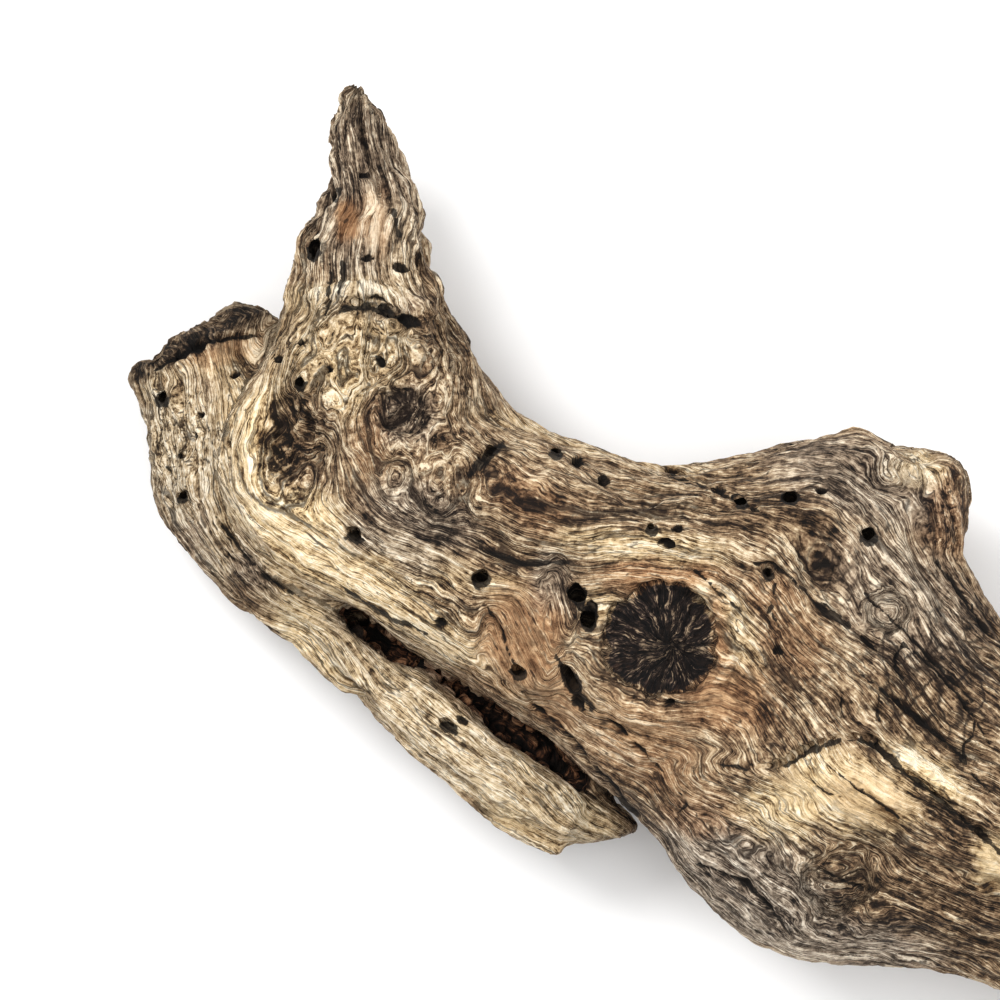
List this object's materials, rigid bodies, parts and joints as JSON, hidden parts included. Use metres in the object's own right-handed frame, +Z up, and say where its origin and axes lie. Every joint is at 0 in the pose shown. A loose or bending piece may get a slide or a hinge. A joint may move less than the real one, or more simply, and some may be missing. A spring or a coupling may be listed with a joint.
{
  "type": "piece of driftwood",
  "caption": "Bent, knotted length of weathered driftwood with a splintered spike, a split-off slab and a worn stump; lies on low knobs of its underside.",
  "frame": {"origin": "middle of the bounding box on the plane that the wood lies on", "axes": "+X along the longest extent, towards the worn stump; +Y the way the spike points, on the view from above; +Z up from the plane that it lies on"},
  "size_m": [0.2782, 0.2408, 0.0887],
  "materials": {
    "weathered_wood": "dry, matt, weathered grain"
  },
  "bodies": {
    "root": {"driftwood": "weathered_wood"}
  },
  "joints": []
}
